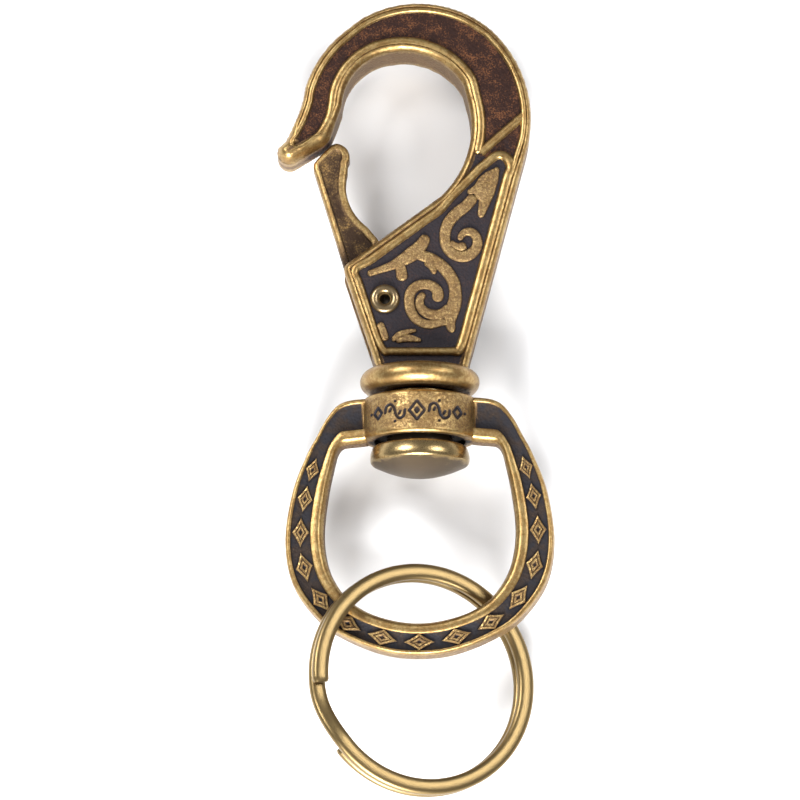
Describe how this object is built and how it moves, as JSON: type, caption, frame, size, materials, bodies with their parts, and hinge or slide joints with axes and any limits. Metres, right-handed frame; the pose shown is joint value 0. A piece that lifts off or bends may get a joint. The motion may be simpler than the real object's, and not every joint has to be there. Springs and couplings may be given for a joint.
{
  "type": "carabiner keyring",
  "caption": "Cast swivel snap hook with a sprung inward gate, a stirrup loop that turns on a headed post, and a split ring threaded through the loop",
  "frame": {"origin": "centre of the bounding box in X and Y, on the surface that the object lies on", "axes": "+X to the right with the hook's nose and gate on the left, +Y along the object from the split ring to the top of the hook, +Z out of the front face"},
  "size_m": [0.036, 0.1046, 0.0155],
  "materials": {
    "antique_brass": "antiqued, worn bright on the rims",
    "plated_brass": "satin",
    "spring_steel": "drawn"
  },
  "bodies": {
    "hook": {"hook_body": "antique_brass", "gate_pin": "plated_brass", "gate_spring": "spring_steel", "swivel_post": "plated_brass", "swivel_washer": "plated_brass"},
    "gate": {"gate": "antique_brass"},
    "loop": {"loop": "antique_brass"},
    "ring": {"split_ring": "plated_brass"}
  },
  "joints": [
    {"name": "gate_hinge", "type": "hinge", "parent": "hook", "child": "gate", "pos_m": [-0.00388, 0.01213, 0.00775], "axis": [0, 0, 1], "range_deg": [-32, 0], "stiffness_Nm_per_rad": 0.06, "springref_deg": 28.65, "deforming": ["gate_spring"]},
    {"name": "loop_swivel", "type": "hinge", "parent": "hook", "child": "loop", "pos_m": [0.00065, 0.00013, 0.00775], "axis": [0, 1, 0], "continuous": true},
    {"name": "ring_swing", "type": "hinge", "parent": "loop", "child": "ring", "pos_m": [0.00125, -0.03727, 0.00775], "axis": [0, 1, 0], "range_deg": [0, 130]}
  ]
}
